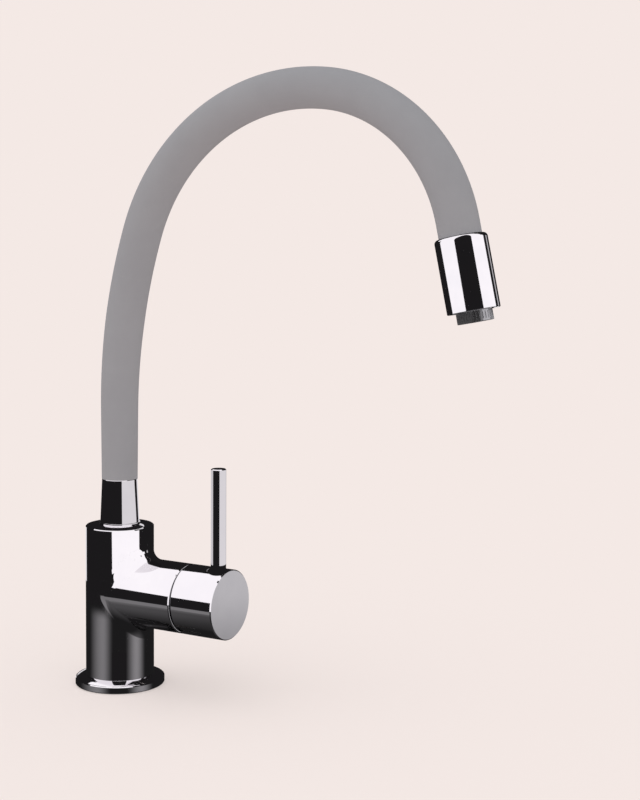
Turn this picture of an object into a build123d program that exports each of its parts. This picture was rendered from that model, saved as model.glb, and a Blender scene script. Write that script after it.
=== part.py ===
from build123d import *
import os
from math import cos, degrees, radians, sin, sqrt

# Kitchen mixer with a flexible spout and a side lever, in millimetres.
# The origin is the centre of the base in the worktop's surface, +Z is up, and +X is the
# way that the lever cap and the bow of the spout point at rest.

# Fits
fit_gap = 0.1
running_gap = 0.05
free_gap = 0.3
face_gap = 0.1

# Cartridge for 35 mm bores: thicknesses along X, from the chamber's floor outwards
cartridge_radius = 17.5
chamber_floor = 14.0
cartridge_base_thickness = 5.0
fixed_disc_thickness = 3.5
moving_disc_thickness = 3.5
driver_thickness = 4.0
pivot_past_driver = 10.0
carrier_length_past_pivot = 3.0
housing_front_thickness = 3.0
nut_thickness = 5.3

# Cartridge: across its axis
housing_wall = 2.6
housing_mouth = 9.5
disc_gap = 0.8
disc_travel_room = 3.0
port_radius = 2.6
inlet_port_y = 6.5
inlet_port_z = 4.5
outlet_port_z = -4.5
seal_section = 1.3
pocket_radius = 5.6
pocket_z = -3.0
pocket_depth = 1.8
pin_radius = 1.5
pin_set_back = 3.8
stem_size = 7.6
stem_eye_wall = 0.6
stem_ball_radius = 2.0
stem_ball_depth = 1.8
stem_neck_radius = 1.4
nut_thread_step = 1.3
nut_relief = 1.6
cartridge_nut_bore = 10.2
cartridge_nut_notches = 6

# Body: an upright barrel with a level branch round the cartridge
body_wall = 3.5
body_foot = 3.2
body_edge = 0.5
lever_axis_z = 59.0
spigot_radius = 16.75
spigot_depth = 3.0
foot_seat_inset = 3.25
dome_inset = 0.8
dome_thickness = 1.3

# Base flange and its seal
flange_width = 6.5
flange_ledge = 1.0
flange_rim_land = 1.0
flange_rim_height = 4.6
flange_top_height = 6.6
flange_edge = 0.5
flange_lift = 0.3
gasket_thickness = 1.8
gasket_clearance = 3.15
gasket_inset = 1.6

# Water inlets in the underside, for hoses with an M10x1 end
inlet_x = 4.5
inlet_y = 8.2
inlet_thread_radius = 4.5
inlet_thread_length = 11.0
feed_radius = 3.5
mixed_radius = 4.5

# Fixing under the worktop
worktop_thickness = 25.0
stud_radius = 4.0
stud_wall = 2.25
stud_in_body = 12.0
stud_end_below_nut = 9.0
horseshoe_overlap = 7.25
horseshoe_thickness = 3.0
horseshoe_gasket_thickness = 2.0
horseshoe_slot_land = 2.5
horseshoe_hose_room = 0.8
horseshoe_corner = 6.0
nut_across_flats = 13.0
nut_height = 6.5

# Socket for the spout in the top of the barrel: heights above the socket's floor
socket_above_lever = 11.0
socket_depth = 29.0
spout_bore_radius = 9.5
bush_wall = 1.3
shank_foot_height = 2.5
o_ring_section = 2.6
o_ring_heights = (9.0, 14.5)
lower_bush_height = 4.0
upper_bush_height = 4.5
screw_below_top = 8.5
screw_radius = 2.5
screw_tip_radius = 1.3
screw_groove_depth = 1.7
screw_sink = 0.6

# Chrome foot ring and collar at the foot of the spout
shank_flange_width = 1.2
shank_flange_height = 3.0
collar_length = 26.7
collar_wall = 2.5
collar_bore_step = 0.4
collar_top_step = 0.1
foot_ring_step = 0.5
foot_ring_height = 2.2

# Lever cap and rod
seam_top = 1.2
seam_bottom = 2.4
cap_length = 29.1
cap_wall = 2.6
cap_face_wall = 3.5
cap_edge = 0.6
cap_rim_thickness = 0.6
cap_rim_taper = 4.0
cap_boss_radius = 8.0
cap_boss_inset = 4.6
stem_in_cap = 8.5
rod_from_face = 8.5
rod_radius = 4.6
rod_stand_out = 60.0
rod_edge = 0.5
rod_seat_depth = 3.0
rod_thread_radius = 3.0
rod_thread_length = 8.0
rod_boss_wall = 1.8
grub_from_boss = 4.5
grub_length = 6.0
key_across_flats = 2.5
key_depth = 2.5

# Bow of the spout, in the XZ plane: a straight run, then arcs that turn the same way
straight_run = 43.0
bow_radii = (345.0, 121.0, 95.0)
bow_turns = (18.5, 78.5, 71.0)
tail_run = 8.0
bend_limit = 12.0
sleeve_radius = 11.9
sleeve_swell = 0.9
sleeve_wall = 3.9
spine_wall = 1.4
spine_inset = 0.31
spine_hinge_gap = 0.92
water_tube_wall = 1.7
water_tube_stub_extra = 1.0
water_tube_start_extra = 0.4
plug_length = 12.0
nipple_wall = 1.0

# Spray head, measured along its own axis from its top edge
head_step = 2.7
head_length = 41.0
head_wall = 1.2
head_shoulder_land = 0.5
head_edge = 0.3
sleeve_in_head = 4.0
connector_length = 10.0
head_seal_thickness = 2.0
head_lip = 1.5
core_bore = 5.0
core_gap = 1.5
nozzle_stand_out = 6.0
nozzle_flange_gap = 1.2
nozzle_flange_width = 2.2
nozzle_flange_thickness = 1.9
nozzle_wall = 1.8
nozzle_ridges = 36
nozzle_ridge_depth = 0.35
aerator_recess = 1.0
aerator_thickness = 4.0
aerator_hole_radius = 0.9
mesh_thickness = 0.6

# Places along the lever's axis, from the chamber's floor to the cap's face
housing_start = chamber_floor + cartridge_base_thickness
fixed_disc_face = housing_start + fixed_disc_thickness
moving_disc_face = fixed_disc_face + moving_disc_thickness
driver_face = moving_disc_face + driver_thickness
pivot_x = driver_face + pivot_past_driver
carrier_front = pivot_x + carrier_length_past_pivot
housing_front = carrier_front + face_gap
housing_end = housing_front + housing_front_thickness
nut_end = housing_end + nut_thickness
branch_end = nut_end + free_gap
cap_rear_top = branch_end + seam_top
cap_rear_bottom = branch_end + seam_bottom
cap_face = cap_rear_top + cap_length
cap_boss_start = cap_rear_top + cap_boss_inset
stem_end = cap_boss_start + stem_in_cap
grub_x = cap_boss_start + grub_from_boss
rod_x = cap_face - rod_from_face

# Radii that follow the cartridge
body_radius = cartridge_radius + body_wall
housing_radius = cartridge_radius - fit_gap
housing_bore = housing_radius - housing_wall
disc_radius = housing_bore - disc_gap
moving_disc_radius = disc_radius - disc_travel_room
cartridge_nut_radius = cartridge_radius + nut_thread_step
dome_radius = body_radius - dome_inset
port_places = ((inlet_port_y, inlet_port_z), (-inlet_port_y, inlet_port_z), (0, outlet_port_z))

# Heights that follow the lever's axis
spout_bore_floor = lever_axis_z + socket_above_lever
body_top = spout_bore_floor + socket_depth
shank_foot_z = spout_bore_floor + shank_foot_height
screw_height = body_top - screw_below_top
ring_foot = body_top + face_gap
ring_top = ring_foot + foot_ring_height
collar_top = ring_top + collar_length
rod_top = lever_axis_z + body_radius + rod_stand_out

# Base and fixing, which follow the body and the hole in the worktop
foot_seat_radius = body_radius - foot_seat_inset
flange_radius = body_radius + flange_width
gasket_outer = flange_radius - gasket_inset
gasket_inner = spigot_radius + gasket_clearance
stud_x = stud_radius + stud_wall - spigot_radius
horseshoe_radius = spigot_radius + horseshoe_overlap
horseshoe_slot_half = inlet_y + inlet_thread_radius + horseshoe_hose_room
horseshoe_slot_start = stud_x + stud_radius + horseshoe_slot_land

# Spout: what fits in the socket, what fits in the sleeve, and the head round the sleeve
shank_radius = spout_bore_radius - bush_wall
shank_flange_radius = shank_radius + shank_flange_width
collar_bore = shank_radius + collar_bore_step
collar_foot_radius = shank_flange_radius + fit_gap + collar_wall
foot_ring_radius = collar_foot_radius + foot_ring_step
sleeve_foot_radius = sleeve_radius - sleeve_swell
collar_top_radius = sleeve_foot_radius - collar_top_step
sleeve_bore = sleeve_radius - sleeve_wall
plug_radius = sleeve_bore - fit_gap
spine_radius = sleeve_bore - free_gap
spine_bore = spine_radius - spine_wall
water_tube_radius = spine_bore - free_gap
water_tube_bore = water_tube_radius - water_tube_wall
nipple_radius = water_tube_bore - fit_gap
nipple_bore = nipple_radius - nipple_wall
head_radius = sleeve_radius + head_step
shell_bore = head_radius - head_wall
nozzle_flange_radius = shell_bore - nozzle_flange_gap
nozzle_radius = nozzle_flange_radius - nozzle_flange_width

FROM_BASE = (Align.CENTER, Align.CENTER, Align.MIN)

pieces = {}


def keep(builder, name):
    """Give a finished piece its name."""
    builder.part.label = name
    pieces[name] = builder.part


def across(x):
    """Plane square to the lever's axis, facing outwards, at a distance along it."""
    return Plane(origin=(x, 0, lever_axis_z), x_dir=(0, 1, 0), z_dir=(1, 0, 0))


# Base gasket: a flat rubber ring in the flange's underside, flush with the worktop
with BuildPart() as base_gasket:
    Cylinder(gasket_outer, gasket_thickness, align=FROM_BASE)
    Cylinder(gasket_inner, gasket_thickness, align=FROM_BASE, mode=Mode.SUBTRACT)
keep(base_gasket, "base_gasket")

# Base flange: a turned trim ring that the barrel stands in
with BuildPart() as base_flange:
    with BuildSketch(Plane.XZ):
        with BuildLine():
            Polyline(
                (body_radius - flange_ledge, flange_top_height),
                (body_radius - flange_ledge, flange_lift),
                (flange_radius, flange_lift),
                (flange_radius, flange_rim_height),
                (flange_radius - flange_rim_land, flange_rim_height),
            )
            RadiusArc(
                (flange_radius - flange_rim_land, flange_rim_height),
                (body_radius + fit_gap, flange_top_height),
                -(flange_radius - body_radius) * 2,
            )
            Line(
                (body_radius + fit_gap, flange_top_height),
                (body_radius - flange_ledge, flange_top_height),
            )
        make_face()
    revolve(axis=Axis.Z)
    with Locations((0, 0, flange_lift)):
        Cylinder(body_radius, body_foot - flange_lift, align=FROM_BASE)
        Cylinder(foot_seat_radius + fit_gap, body_foot, align=FROM_BASE, mode=Mode.SUBTRACT)
    with Locations((0, 0, body_foot)):
        Cylinder(body_radius + fit_gap, flange_top_height, align=FROM_BASE, mode=Mode.SUBTRACT)
    with BuildSketch(Plane.XY):
        Circle(gasket_outer + fit_gap)
        Circle(gasket_inner - fit_gap, mode=Mode.SUBTRACT)
    extrude(amount=gasket_thickness, mode=Mode.SUBTRACT)
    rim = base_flange.edges().filter_by(GeomType.CIRCLE).filter_by(
        lambda edge: abs(edge.radius - flange_radius) < 0.01
    )
    chamfer(rim, flange_edge)
keep(base_flange, "base_flange")

# Body casting: barrel, branch, foot spigot, sockets and waterways
with BuildPart() as body_casting:
    with Locations((0, 0, body_foot)):
        Cylinder(body_radius, body_top - body_foot, align=FROM_BASE)
    with Locations((0, 0, flange_lift)):
        Cylinder(foot_seat_radius, body_foot - flange_lift, align=FROM_BASE)
    with Locations((0, 0, -spigot_depth)):
        Cylinder(spigot_radius, flange_lift + spigot_depth, align=FROM_BASE)
    with Locations(across(0)):
        Cylinder(body_radius, branch_end, align=FROM_BASE)
    outer_rims = body_casting.edges().filter_by(GeomType.CIRCLE).filter_by(
        lambda edge: abs(edge.radius - body_radius) < 0.01
    )
    chamfer(outer_rims.sort_by(Axis.Z)[-1], body_edge)
    chamfer(body_casting.faces().sort_by(Axis.X)[-1].edges(), body_edge)
    with Locations((0, 0, spout_bore_floor)):
        Cylinder(spout_bore_radius, body_top - spout_bore_floor, align=FROM_BASE, mode=Mode.SUBTRACT)
    with Locations(across(chamber_floor)):
        Cylinder(cartridge_radius + fit_gap, branch_end - chamber_floor, align=FROM_BASE,
                 mode=Mode.SUBTRACT)
    with Locations(across(housing_end - nut_relief)):
        Cylinder(cartridge_nut_radius, branch_end - housing_end + nut_relief, align=FROM_BASE,
                 mode=Mode.SUBTRACT)
    outlet_height = lever_axis_z + outlet_port_z
    inlet_height = lever_axis_z + inlet_port_z
    with Locations((0, 0, outlet_height - port_radius)):
        Cylinder(mixed_radius, spout_bore_floor - outlet_height + port_radius, align=FROM_BASE,
                 mode=Mode.SUBTRACT)
    with Locations(Plane(origin=(0, 0, outlet_height), x_dir=(0, 1, 0), z_dir=(1, 0, 0))):
        Cylinder(port_radius, chamber_floor, align=FROM_BASE, mode=Mode.SUBTRACT)
    for side in (-1, 1):
        with Locations((inlet_x, side * inlet_y, -spigot_depth)):
            Cylinder(inlet_thread_radius, inlet_thread_length, align=FROM_BASE, mode=Mode.SUBTRACT)
            Cylinder(feed_radius, inlet_height + spigot_depth + port_radius, align=FROM_BASE,
                     mode=Mode.SUBTRACT)
        port_plane = Plane(origin=(inlet_x, side * inlet_port_y, inlet_height), x_dir=(0, 1, 0),
                           z_dir=(1, 0, 0))
        with Locations(port_plane):
            Cylinder(port_radius, chamber_floor - inlet_x, align=FROM_BASE, mode=Mode.SUBTRACT)
    with Locations((stud_x, 0, -spigot_depth)):
        Cylinder(stud_radius, stud_in_body + 1, align=FROM_BASE, mode=Mode.SUBTRACT)
    with Locations(Plane(origin=(-body_radius, 0, screw_height), z_dir=(1, 0, 0))):
        Cylinder(screw_radius, body_radius, align=FROM_BASE, mode=Mode.SUBTRACT)
keep(body_casting, "body_casting")

# Fixing stud, screwed into the foot of the body
washer_top = -worktop_thickness - horseshoe_gasket_thickness
nut_top = washer_top - horseshoe_thickness
stud_end = nut_top - nut_height - stud_end_below_nut
stud_top = stud_in_body - spigot_depth
with BuildPart() as fixing_stud:
    with Locations((stud_x, 0, stud_end)):
        Cylinder(stud_radius - running_gap, stud_top - stud_end, align=FROM_BASE)
    chamfer(fixing_stud.faces().filter_by(Axis.Z).edges(), 0.6)
keep(fixing_stud, "fixing_stud")


def horseshoe(top, thickness, name):
    """Plate with a hole for the stud and an open slot for the two hoses."""
    with BuildPart() as plate:
        with BuildSketch(Plane.XY.offset(top - thickness)):
            Circle(horseshoe_radius)
            with Locations((horseshoe_slot_start + horseshoe_radius, 0)):
                RectangleRounded(2 * horseshoe_radius, 2 * horseshoe_slot_half, horseshoe_corner,
                                 mode=Mode.SUBTRACT)
            with Locations((stud_x, 0)):
                Circle(stud_radius + free_gap, mode=Mode.SUBTRACT)
        extrude(amount=thickness)
        fillet(plate.edges().filter_by(Axis.Z), 1.0)
    keep(plate, name)


horseshoe(-worktop_thickness, horseshoe_gasket_thickness, "horseshoe_gasket")
horseshoe(washer_top, horseshoe_thickness, "horseshoe_washer")

# Nut on the stud
with BuildPart() as stud_nut:
    with BuildSketch(Plane.XY.offset(nut_top - nut_height)):
        with Locations((stud_x, 0)):
            RegularPolygon(nut_across_flats / 2, 6, major_radius=False)
            Circle(stud_radius, mode=Mode.SUBTRACT)
    extrude(amount=nut_height)
keep(stud_nut, "stud_nut")

# Cartridge base with three ports, and the seals on both of its faces
base_plane = across(chamber_floor)
front_groove_start = housing_start - seal_section
seal_inner = port_radius + free_gap
seal_outer = seal_inner + seal_section
with BuildPart() as cartridge_base:
    with Locations(base_plane):
        Cylinder(housing_radius, cartridge_base_thickness, align=FROM_BASE)
    with BuildSketch(base_plane):
        with Locations(*port_places):
            Circle(port_radius)
    extrude(amount=cartridge_base_thickness, mode=Mode.SUBTRACT)
    for start in (chamber_floor, front_groove_start):
        with BuildSketch(across(start)):
            with Locations(*port_places):
                Circle(seal_outer + running_gap)
                Circle(seal_inner - running_gap, mode=Mode.SUBTRACT)
        extrude(amount=seal_section, mode=Mode.SUBTRACT)
keep(cartridge_base, "cartridge_base")


def port_seals(start, name):
    """Three rubber rings, one round each port."""
    with BuildPart() as seals:
        with BuildSketch(across(start)):
            with Locations(*port_places):
                Circle(seal_outer)
                Circle(seal_inner, mode=Mode.SUBTRACT)
        extrude(amount=seal_section)
    keep(seals, name)


port_seals(chamber_floor, "cartridge_base_seals")
port_seals(front_groove_start, "disc_port_seals")

# Fixed ceramic disc with the two inlet ports and the outlet port
with BuildPart() as fixed_disc:
    with Locations(across(housing_start)):
        Cylinder(disc_radius, fixed_disc_thickness, align=FROM_BASE)
    with BuildSketch(across(housing_start)):
        with Locations(*port_places):
            Circle(port_radius)
    extrude(amount=fixed_disc_thickness, mode=Mode.SUBTRACT)
keep(fixed_disc, "fixed_disc")

# Moving ceramic disc, with the pocket that joins the ports when it slides up
with BuildPart() as moving_disc:
    with Locations(across(fixed_disc_face)):
        Cylinder(moving_disc_radius, moving_disc_thickness, align=FROM_BASE)
    with BuildSketch(across(fixed_disc_face)):
        with Locations((0, pocket_z)):
            Circle(pocket_radius)
    extrude(amount=pocket_depth, mode=Mode.SUBTRACT)
keep(moving_disc, "moving_disc")

# Disc driver: plastic plate on the moving disc, with the socket for the stem's ball
socket_radius = stem_ball_radius + 0.4
with BuildPart() as disc_driver:
    with Locations(across(moving_disc_face)):
        Cylinder(moving_disc_radius, driver_thickness, align=FROM_BASE)
    with Locations(across(moving_disc_face)):
        Cylinder(socket_radius, driver_thickness, align=FROM_BASE, mode=Mode.SUBTRACT)
keep(disc_driver, "disc_driver")

# Cartridge housing: plastic sleeve with a front wall that keeps the carrier in
with BuildPart() as cartridge_housing:
    with Locations(across(housing_start)):
        Cylinder(housing_radius, housing_end - housing_start, align=FROM_BASE)
        Cylinder(housing_bore, housing_front - housing_start, align=FROM_BASE, mode=Mode.SUBTRACT)
        Cylinder(housing_mouth, housing_end - housing_start, align=FROM_BASE, mode=Mode.SUBTRACT)
keep(cartridge_housing, "cartridge_housing")

# Stem carrier: turns in the housing and holds the stem's pin
carrier_start = driver_face + face_gap
carrier_length = carrier_front - carrier_start
stem_slot_half = stem_size / 2 + free_gap
stem_eye_radius = stem_size / 2 + stem_eye_wall
stem_slot_height = 2 * (stem_eye_radius + 4)
pin_length = 2 * (housing_bore - pin_set_back)
with BuildPart() as stem_carrier:
    with Locations(across(carrier_start)):
        Cylinder(housing_bore - free_gap, carrier_length, align=FROM_BASE)
        Box(2 * stem_slot_half, stem_slot_height, carrier_length, align=FROM_BASE,
            mode=Mode.SUBTRACT)
    with Locations(Plane(origin=(pivot_x, 0, lever_axis_z), z_dir=(0, 1, 0))):
        Cylinder(pin_radius, pin_length, mode=Mode.SUBTRACT)
keep(stem_carrier, "stem_carrier")

# Stem pin
with BuildPart() as stem_pin:
    with Locations(Plane(origin=(pivot_x, 0, lever_axis_z), z_dir=(0, 1, 0))):
        Cylinder(pin_radius - running_gap, pin_length)
keep(stem_pin, "stem_pin")

# Cartridge stem: a square bar with an eye for the pin and a ball that drives the disc
ball_x = driver_face - stem_ball_depth
with BuildPart() as cartridge_stem:
    with BuildSketch(across(pivot_x)):
        Rectangle(stem_size, stem_size)
    extrude(amount=stem_end - pivot_x)
    with Locations(Plane(origin=(pivot_x, 0, lever_axis_z), z_dir=(0, 1, 0))):
        Cylinder(stem_eye_radius, stem_size)
    with Locations(across(ball_x)):
        Cylinder(stem_neck_radius, pivot_x - ball_x, align=FROM_BASE)
        Sphere(stem_ball_radius)
    with Locations(Plane(origin=(pivot_x, 0, lever_axis_z), z_dir=(0, 1, 0))):
        Cylinder(pin_radius + running_gap, stem_size, mode=Mode.SUBTRACT)
keep(cartridge_stem, "cartridge_stem")

# Cartridge nut: threaded ring that clamps the housing, with notches for its key
with BuildPart() as cartridge_nut:
    with Locations(across(housing_end)):
        Cylinder(cartridge_nut_radius - running_gap, nut_end - housing_end, align=FROM_BASE)
        Cylinder(cartridge_nut_bore, nut_end - housing_end, align=FROM_BASE, mode=Mode.SUBTRACT)
    with BuildSketch(across(nut_end)):
        with PolarLocations(cartridge_nut_bore, cartridge_nut_notches):
            Rectangle(4, 5)
    extrude(amount=-2.5, mode=Mode.SUBTRACT)
keep(cartridge_nut, "cartridge_nut")

# Trim dome: thin chromed ring over the nut, seen in the seam behind the lever cap
with BuildPart() as trim_dome:
    with Locations(across(branch_end)):
        Cylinder(dome_radius, dome_thickness, align=FROM_BASE)
    chamfer(trim_dome.faces().sort_by(Axis.X)[-1].edges(), 0.7)
    with Locations(across(branch_end)):
        Cylinder(cartridge_nut_bore, dome_thickness, align=FROM_BASE, mode=Mode.SUBTRACT)
keep(trim_dome, "trim_dome")

# Lever cap: hollow drum with a boss for the stem and one for the rod
cap_bore = body_radius - cap_wall
boss_end = cap_face - cap_face_wall
with BuildPart() as lever_cap:
    with Locations(across(cap_rear_top)):
        Cylinder(body_radius, cap_face - cap_rear_top, align=FROM_BASE)
    face_edges = lever_cap.faces().sort_by(Axis.X)[-1].edges()
    chamfer(face_edges, cap_edge)
    with Locations(across(cap_rear_top)):
        Cylinder(cap_bore, boss_end - cap_rear_top, align=FROM_BASE, mode=Mode.SUBTRACT)
    with Locations(across(cap_rear_top)):
        Cone(body_radius - cap_rim_thickness, cap_bore, cap_rim_taper, align=FROM_BASE,
             mode=Mode.SUBTRACT)
    with Locations(across(cap_boss_start)):
        Cylinder(cap_boss_radius, cap_face - 1 - cap_boss_start, align=FROM_BASE)
    with Locations((rod_x, 0, lever_axis_z)):
        Cylinder(rod_radius + rod_boss_wall, body_radius - cap_wall / 2, align=FROM_BASE)
    with BuildSketch(across(cap_boss_start)):
        Rectangle(stem_size + 2 * fit_gap, stem_size + 2 * fit_gap)
    extrude(amount=stem_end + face_gap - cap_boss_start, mode=Mode.SUBTRACT)
    rod_seat = lever_axis_z + body_radius - rod_seat_depth
    with Locations((rod_x, 0, rod_seat)):
        Cylinder(rod_radius + running_gap, body_radius, align=FROM_BASE, mode=Mode.SUBTRACT)
    with Locations((rod_x, 0, rod_seat - rod_thread_length - free_gap)):
        Cylinder(rod_thread_radius + running_gap, rod_thread_length + 1, align=FROM_BASE,
                 mode=Mode.SUBTRACT)
    with Locations((grub_x, 0, lever_axis_z - body_radius)):
        Cylinder(screw_radius, body_radius - stem_size / 2, align=FROM_BASE, mode=Mode.SUBTRACT)
    with BuildSketch(Plane.XZ):
        with BuildLine():
            Polyline(
                (cap_rear_top - 1, lever_axis_z + body_radius + 1),
                (cap_rear_top, lever_axis_z + body_radius),
                (cap_rear_bottom, lever_axis_z - body_radius),
                (cap_rear_top - 1, lever_axis_z - body_radius - 1),
                close=True,
            )
        make_face()
    extrude(amount=body_radius + 1, both=True, mode=Mode.SUBTRACT)
keep(lever_cap, "lever_cap")

# Lever rod: polished pin screwed into the top of the cap
with BuildPart() as lever_rod:
    with Locations((rod_x, 0, rod_seat)):
        Cylinder(rod_radius, rod_top - rod_seat, align=FROM_BASE)
    chamfer(lever_rod.faces().sort_by(Axis.Z)[-1].edges(), rod_edge)
    with Locations((rod_x, 0, rod_seat - rod_thread_length)):
        Cylinder(rod_thread_radius, rod_thread_length, align=FROM_BASE)
keep(lever_rod, "lever_rod")

# Grub screw that clamps the cap on the stem, from below
grub_tip = lever_axis_z - stem_size / 2
with BuildPart() as lever_grub_screw:
    with Locations((grub_x, 0, grub_tip - grub_length)):
        Cylinder(screw_radius - running_gap, grub_length, align=FROM_BASE)
    with BuildSketch(Plane.XY.offset(grub_tip - grub_length)):
        with Locations((grub_x, 0)):
            RegularPolygon(key_across_flats / 2, 6, major_radius=False)
    extrude(amount=key_depth, mode=Mode.SUBTRACT)
keep(lever_grub_screw, "lever_grub_screw")

# Retaining screw in the back of the body, whose tip runs in the shank's groove
screw_outer_x = -sqrt(body_radius ** 2 - screw_radius ** 2) + screw_sink
tip_end_x = -(shank_radius - screw_groove_depth + free_gap)
with BuildPart() as retaining_screw:
    with Locations(Plane(origin=(screw_outer_x, 0, screw_height), z_dir=(1, 0, 0))):
        Cylinder(screw_tip_radius, tip_end_x - screw_outer_x, align=FROM_BASE)
        Cylinder(screw_radius - running_gap, -spout_bore_radius - free_gap - screw_outer_x,
                 align=FROM_BASE)
    with BuildSketch(Plane(origin=(screw_outer_x, 0, screw_height), z_dir=(1, 0, 0))):
        RegularPolygon(key_across_flats / 2, 6, major_radius=False)
    extrude(amount=key_depth, mode=Mode.SUBTRACT)
keep(retaining_screw, "retaining_screw")


def shank_bush(foot, height, name):
    """Plastic ring in the spout socket that the shank turns in."""
    with BuildPart() as bush:
        with Locations((0, 0, foot)):
            Cylinder(spout_bore_radius - fit_gap / 2, height, align=FROM_BASE)
            Cylinder(shank_radius + running_gap, height, align=FROM_BASE, mode=Mode.SUBTRACT)
    keep(bush, name)


shank_bush(shank_foot_z, lower_bush_height, "lower_bush")
shank_bush(body_top - upper_bush_height - face_gap, upper_bush_height, "upper_bush")

# Foot ring: bright ring between the body's top and the collar
with BuildPart() as spout_foot_ring:
    with Locations((0, 0, ring_foot)):
        Cylinder(foot_ring_radius, foot_ring_height, align=FROM_BASE)
    fillet(spout_foot_ring.faces().filter_by(Axis.Z).edges(), 0.6)
    with Locations((0, 0, ring_foot)):
        Cylinder(shank_radius + fit_gap, foot_ring_height, align=FROM_BASE, mode=Mode.SUBTRACT)
keep(spout_foot_ring, "spout_foot_ring")

# Spout shank: brass tube with O-ring grooves, a flange for the collar and a hose plug
plug_top = collar_top + plug_length
shank_groove_radius = shank_radius - screw_groove_depth
o_ring_centre = spout_bore_radius - running_gap - o_ring_section / 2
o_ring_groove_radius = o_ring_centre - o_ring_section / 2 - running_gap
groove_width = o_ring_section + 0.4
screw_groove_width = 2 * (screw_tip_radius + free_gap)
o_ring_places = [spout_bore_floor + height for height in o_ring_heights]
with BuildPart() as spout_shank:
    with Locations((0, 0, shank_foot_z)):
        Cylinder(shank_radius, ring_top + shank_flange_height - shank_foot_z, align=FROM_BASE)
    with Locations((0, 0, ring_top)):
        Cylinder(shank_flange_radius, shank_flange_height, align=FROM_BASE)
        Cylinder(collar_bore - fit_gap, collar_top - ring_top, align=FROM_BASE)
    with Locations((0, 0, collar_top)):
        Cylinder(plug_radius, plug_length, align=FROM_BASE)
    cuts = [(height, groove_width, o_ring_groove_radius) for height in o_ring_places]
    cuts.append((screw_height, screw_groove_width, shank_groove_radius))
    for height, width, radius in cuts:
        with BuildSketch(Plane.XY.offset(height - width / 2)):
            Circle(shank_radius + 1)
            Circle(radius, mode=Mode.SUBTRACT)
        extrude(amount=width, mode=Mode.SUBTRACT)
    with BuildSketch(Plane.XY.offset(plug_top)):
        Circle(water_tube_radius + fit_gap)
        Circle(nipple_radius, mode=Mode.SUBTRACT)
    extrude(amount=-(plug_length - 1), mode=Mode.SUBTRACT)
    with Locations((0, 0, shank_foot_z)):
        Cylinder(nipple_bore, plug_top - shank_foot_z, align=FROM_BASE, mode=Mode.SUBTRACT)
keep(spout_shank, "spout_shank")

# O-rings on the shank
with BuildPart() as shank_o_rings:
    with Locations(*[(0, 0, height) for height in o_ring_places]):
        Torus(o_ring_centre, o_ring_section / 2)
keep(shank_o_rings, "shank_o_rings")

# Spout collar: tapered chrome sleeve between the foot ring and the hose
with BuildPart() as spout_collar:
    with Locations((0, 0, ring_top)):
        Cone(collar_foot_radius, collar_top_radius, collar_top - ring_top, align=FROM_BASE)
    chamfer(spout_collar.faces().sort_by(Axis.Z)[-1].edges(), 0.3)
    with Locations((0, 0, ring_top)):
        Cylinder(collar_bore, collar_top - ring_top, align=FROM_BASE, mode=Mode.SUBTRACT)
        Cylinder(shank_flange_radius + fit_gap, shank_flange_height + fit_gap, align=FROM_BASE,
                 mode=Mode.SUBTRACT)
keep(spout_collar, "spout_collar")


# Flexible spout. A span is a list of moves: a length and a radius, where radius None is
# straight. Spans meet at the hinge points. Each ends in a ball about the hinge, and the
# next one starts in the socket round it, so that the spans bend without a gap or a clash.
def arc_move(index, share):
    """Move along a share of one arc of the bow."""
    return (bow_radii[index] * radians(bow_turns[index]) * share, bow_radii[index])


span_moves = [
    [(straight_run, None), arc_move(0, 0.5)],
    [arc_move(0, 0.5)],
    [arc_move(1, 0.5)],
    [arc_move(1, 0.5)],
    [arc_move(2, 0.5)],
    [arc_move(2, 0.5), (tail_run, None)],
]
span_count = len(span_moves)


def direction(heading):
    """Unit direction in the XZ plane, from an angle above +X."""
    return Vector(cos(radians(heading)), 0, sin(radians(heading)))


def advance(point, heading, length, radius):
    """Point and heading after one move along the bow."""
    if radius is None:
        return point + direction(heading) * length, heading
    turn = degrees(length / radius)
    centre = point + direction(heading - 90) * radius
    return centre + direction(heading + 90 - turn) * radius, heading - turn


def follow(point, heading, moves):
    """Point and heading at the end of a list of moves."""
    for length, radius in moves:
        point, heading = advance(point, heading, length, radius)
    return point, heading


# Ends of the spans: the foot of the hose, the hinges, and the top of the spray head
hose_ends = [(Vector(0, 0, collar_top), 90.0)]
for moves in span_moves:
    hose_ends.append(follow(*hose_ends[-1], moves))
hose_length = sum(length for moves in span_moves for length, radius in moves)


def shortened(moves, amount):
    """Moves with a length left out at their start."""
    (length, radius), rest = moves[0], moves[1:]
    if amount >= length:
        return shortened(rest, amount - length)
    return [(length - amount, radius)] + rest


def between(moves, start_gap, end_gap):
    """Moves with a length left out at each end."""
    return shortened(shortened(moves, start_gap)[::-1], end_gap)[::-1]


def end_plane(end):
    """Plane square to the hose at a point of it."""
    point, heading = end
    return Plane(origin=point, x_dir=(0, 1, 0), z_dir=direction(heading))


def draw_moves(end, moves):
    """Edges of the hose's line along a list of moves."""
    point, heading = end
    edges = []
    for length, radius in moves:
        far_point, far_heading = advance(point, heading, length, radius)
        if radius is None:
            edges.append(Edge.make_line(point, far_point))
        else:
            edges.append(Edge.make_tangent_arc(point, direction(heading), far_point))
        point, heading = far_point, far_heading
    return Wire(edges)


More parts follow.
